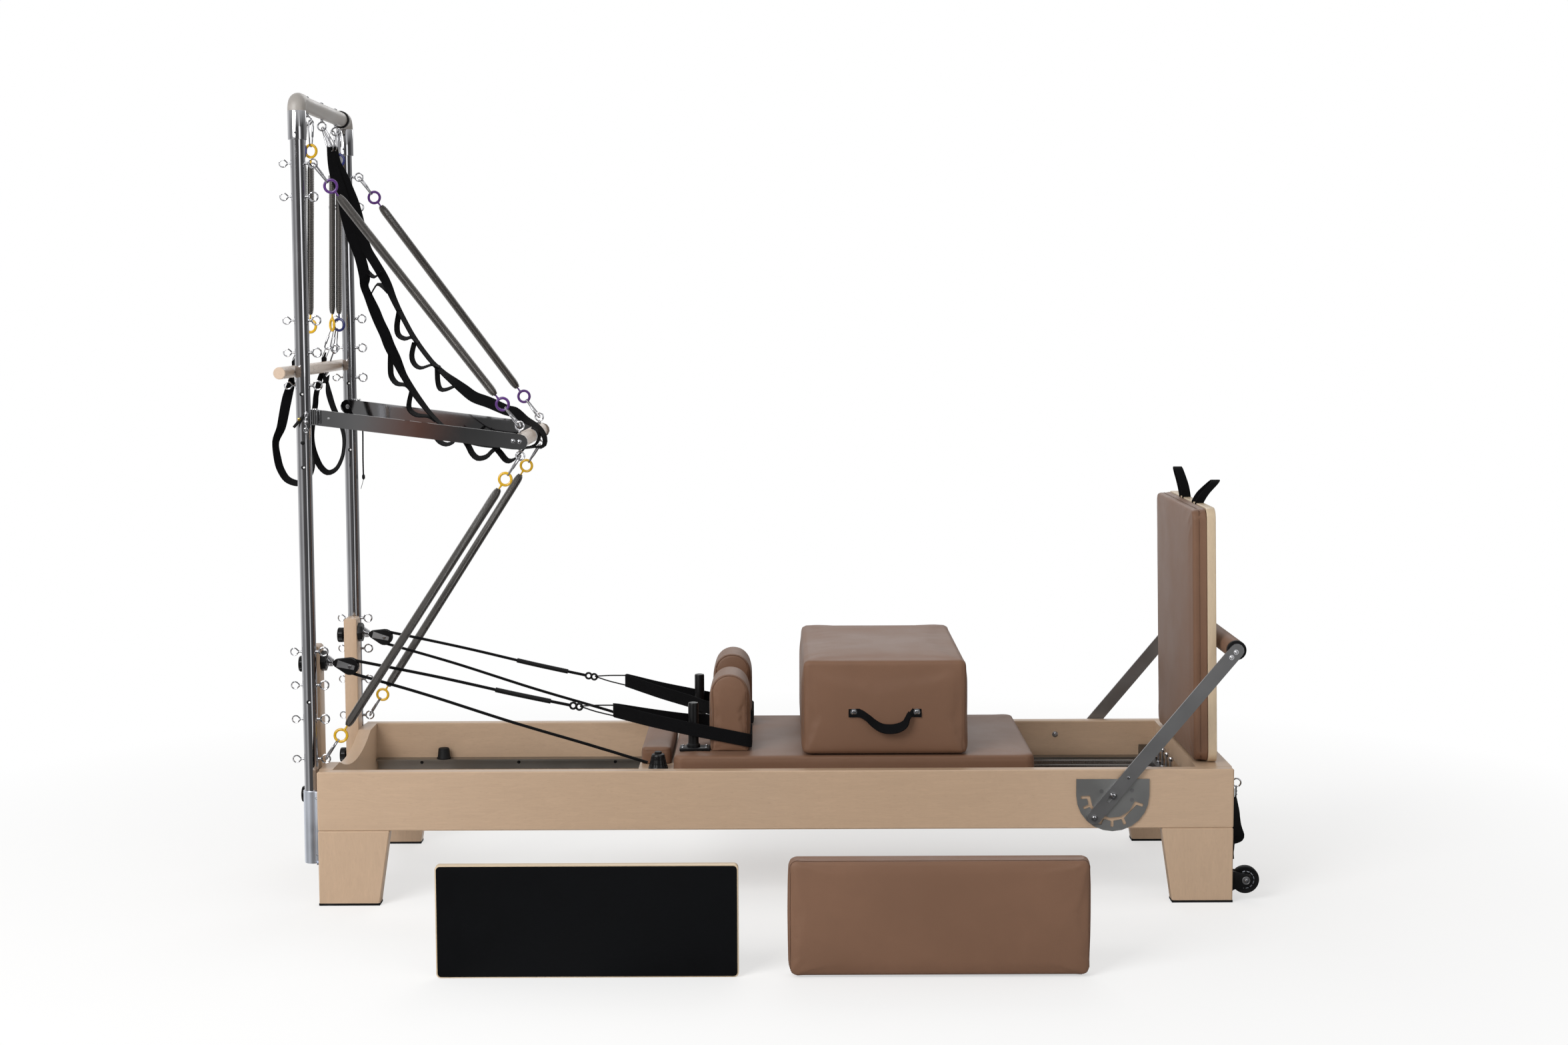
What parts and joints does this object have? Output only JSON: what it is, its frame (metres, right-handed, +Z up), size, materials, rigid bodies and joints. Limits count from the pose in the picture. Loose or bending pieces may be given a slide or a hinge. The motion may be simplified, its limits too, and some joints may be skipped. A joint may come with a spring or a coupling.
{
  "type": "pilates reformer with tower",
  "caption": "Wooden pilates reformer with a sprung carriage on rails, a foot bar, a jump board, a sitting box and a chrome tower that carries spring-loaded bars.",
  "frame": {"origin": "on the floor, at the middle of the box round the machine and its two loose boards", "axes": "+X along the machine from the tower to the foot bar, +Y across it from the near side to the far side, +Z up"},
  "size_m": [2.5938, 1.5047, 2.1154],
  "materials": {
    "maple": "clear satin lacquer",
    "tan_leather": "fine-grained, satin",
    "chrome": "polished",
    "grey_steel": "dull grey",
    "aluminium": "satin",
    "pale_paint": "satin pale grey",
    "black_rubber": "matt",
    "black_webbing": "woven",
    "spring_steel": "bright drawn wire",
    "black_plastic": "satin moulded",
    "black_steel": "satin black"
  },
  "bodies": {
    "frame": {"side_rail_near": "maple", "side_rail_far": "maple", "head_board": "maple", "foot_board": "maple", "leg_tower_near": "maple", "leg_tower_far": "maple", "leg_foot_near": "maple", "leg_foot_far": "maple", "track_near": "aluminium", "track_far": "aluminium", "track_stop_near": "black_rubber", "track_stop_far": "black_rubber", "spring_bar": "black_steel", "gear_plate_near": "grey_steel", "gear_plate_far": "grey_steel", "riser_near": "maple", "riser_far": "maple", "pulley_block_near": "black_plastic", "pulley_block_far": "black_plastic", "pole_near": "chrome", "pole_far": "chrome", "top_bar": "pale_paint", "rope_near": "black_webbing", "rope_far": "black_webbing", "ladder_strap": "black_webbing", "upper_spring_near": "spring_steel", "upper_spring_far": "spring_steel", "lower_spring_near": "spring_steel", "lower_spring_far": "spring_steel", "roll_springs_near": "spring_steel", "roll_springs_far": "spring_steel", "carriage_springs": "spring_steel"},
    "carriage": {"carriage_platform": "maple", "carriage_mat": "tan_leather", "shoulder_rest_near": "tan_leather", "shoulder_rest_far": "tan_leather", "strap_post_near": "black_steel", "strap_post_far": "black_steel"},
    "tower_wheels": {"carriage_wheels_tower": "black_plastic"},
    "foot_wheels": {"carriage_wheels_foot": "black_plastic"},
    "headrest": {"headrest": "tan_leather"},
    "footbar_pivots": {"footbar_pivot_near": "chrome", "footbar_pivot_far": "chrome"},
    "footbar": {"footbar_arm_near": "grey_steel", "footbar_arm_far": "grey_steel", "footbar_roller": "tan_leather"},
    "push_bar": {"push_arm_near": "chrome", "push_arm_far": "chrome", "push_handle": "maple"},
    "roll_down_bar": {"roll_down_bar": "maple"},
    "pulley_wheel_near": {"pulley_wheel_near": "black_plastic"},
    "pulley_wheel_far": {"pulley_wheel_far": "black_plastic"},
    "transport_wheel_near": {"transport_wheel_near": "black_rubber"},
    "transport_wheel_far": {"transport_wheel_far": "black_rubber"},
    "jump_board": {"jump_board_panel": "maple", "jump_board_pad": "tan_leather"},
    "sitting_box": {"sitting_box": "tan_leather", "box_handle": "black_webbing"},
    "standing_platform": {"standing_platform": "black_rubber"},
    "padded_platform": {"padded_platform": "tan_leather"}
  },
  "joints": [
    {"name": "carriage_slide", "type": "slide", "parent": "frame", "child": "carriage", "axis": [-1, 0, 0], "range_m": [0, 0.69], "stiffness_N_per_m": 250, "springref_m": -0.05, "deforming": ["carriage_springs", "rope_near", "rope_far"]},
    {"name": "tower_wheels_spin", "type": "hinge", "parent": "carriage", "child": "tower_wheels", "pos_m": [-0.2, 0.3025, 0.2753], "axis": [0, 1, 0], "continuous": true},
    {"name": "foot_wheels_spin", "type": "hinge", "parent": "carriage", "child": "foot_wheels", "pos_m": [0.625, 0.3025, 0.2753], "axis": [0, 1, 0], "continuous": true},
    {"name": "headrest_tilt", "type": "hinge", "parent": "carriage", "child": "headrest", "pos_m": [-0.253, 0.3025, 0.3886], "axis": [0, 1, 0], "range_deg": [0, 35]},
    {"name": "footbar_swing", "type": "hinge", "parent": "frame", "child": "footbar_pivots", "pos_m": [0.907, 0.3025, 0.288], "axis": [0, 1, 0], "range_deg": [0, 46]},
    {"name": "footbar_lift", "type": "slide", "parent": "footbar_pivots", "child": "footbar", "axis": [0.6414, 0, 0.7672], "range_m": [0, 0.016]},
    {"name": "push_bar_swing", "type": "hinge", "parent": "frame", "child": "push_bar", "pos_m": [-1.1965, 0.3025, 1.283], "axis": [0, 1, 0], "range_deg": [-35, 40], "stiffness_Nm_per_rad": 25, "springref_deg": -17.76, "deforming": ["upper_spring_near", "upper_spring_far", "lower_spring_near", "lower_spring_far", "ladder_strap"]},
    {"name": "roll_down", "type": "slide", "parent": "frame", "child": "roll_down_bar", "axis": [-0.9063, 0, -0.4226], "range_m": [0, 0.35], "stiffness_N_per_m": 40, "springref_m": -0.3, "deforming": ["roll_springs_near", "roll_springs_far"]},
    {"name": "pulley_near_spin", "type": "hinge", "parent": "frame", "child": "pulley_wheel_near", "pos_m": [-1.1, 0.0325, 0.62], "axis": [0, 1, 0], "continuous": true},
    {"name": "pulley_far_spin", "type": "hinge", "parent": "frame", "child": "pulley_wheel_far", "pos_m": [-1.1, 0.5725, 0.62], "axis": [0, 1, 0], "continuous": true},
    {"name": "transport_near_spin", "type": "hinge", "parent": "frame", "child": "transport_wheel_near", "pos_m": [1.2625, -0.0425, 0.055], "axis": [0, 1, 0], "continuous": true},
    {"name": "transport_far_spin", "type": "hinge", "parent": "frame", "child": "transport_wheel_far", "pos_m": [1.2625, 0.6475, 0.055], "axis": [0, 1, 0], "continuous": true},
    {"name": "jump_board_lift", "type": "slide", "parent": "frame", "child": "jump_board", "axis": [0, 0, 1], "range_m": [0, 0.35]},
    {"name": "sitting_box_lift", "type": "slide", "parent": "carriage", "child": "sitting_box", "axis": [0, 0, 1], "range_m": [0, 0.3]},
    {"name": "standing_platform_lift", "type": "slide", "parent": "frame", "child": "standing_platform", "axis": [0, 0, 1], "range_m": [0, 0.3]},
    {"name": "padded_platform_lift", "type": "slide", "parent": "frame", "child": "padded_platform", "axis": [0, 0, 1], "range_m": [0, 0.3]}
  ],
  "couplings": [
    {"joint": "tower_wheels_spin", "follows": "carriage_slide", "rad_per_m": -50},
    {"joint": "foot_wheels_spin", "follows": "carriage_slide", "rad_per_m": -50}
  ]
}
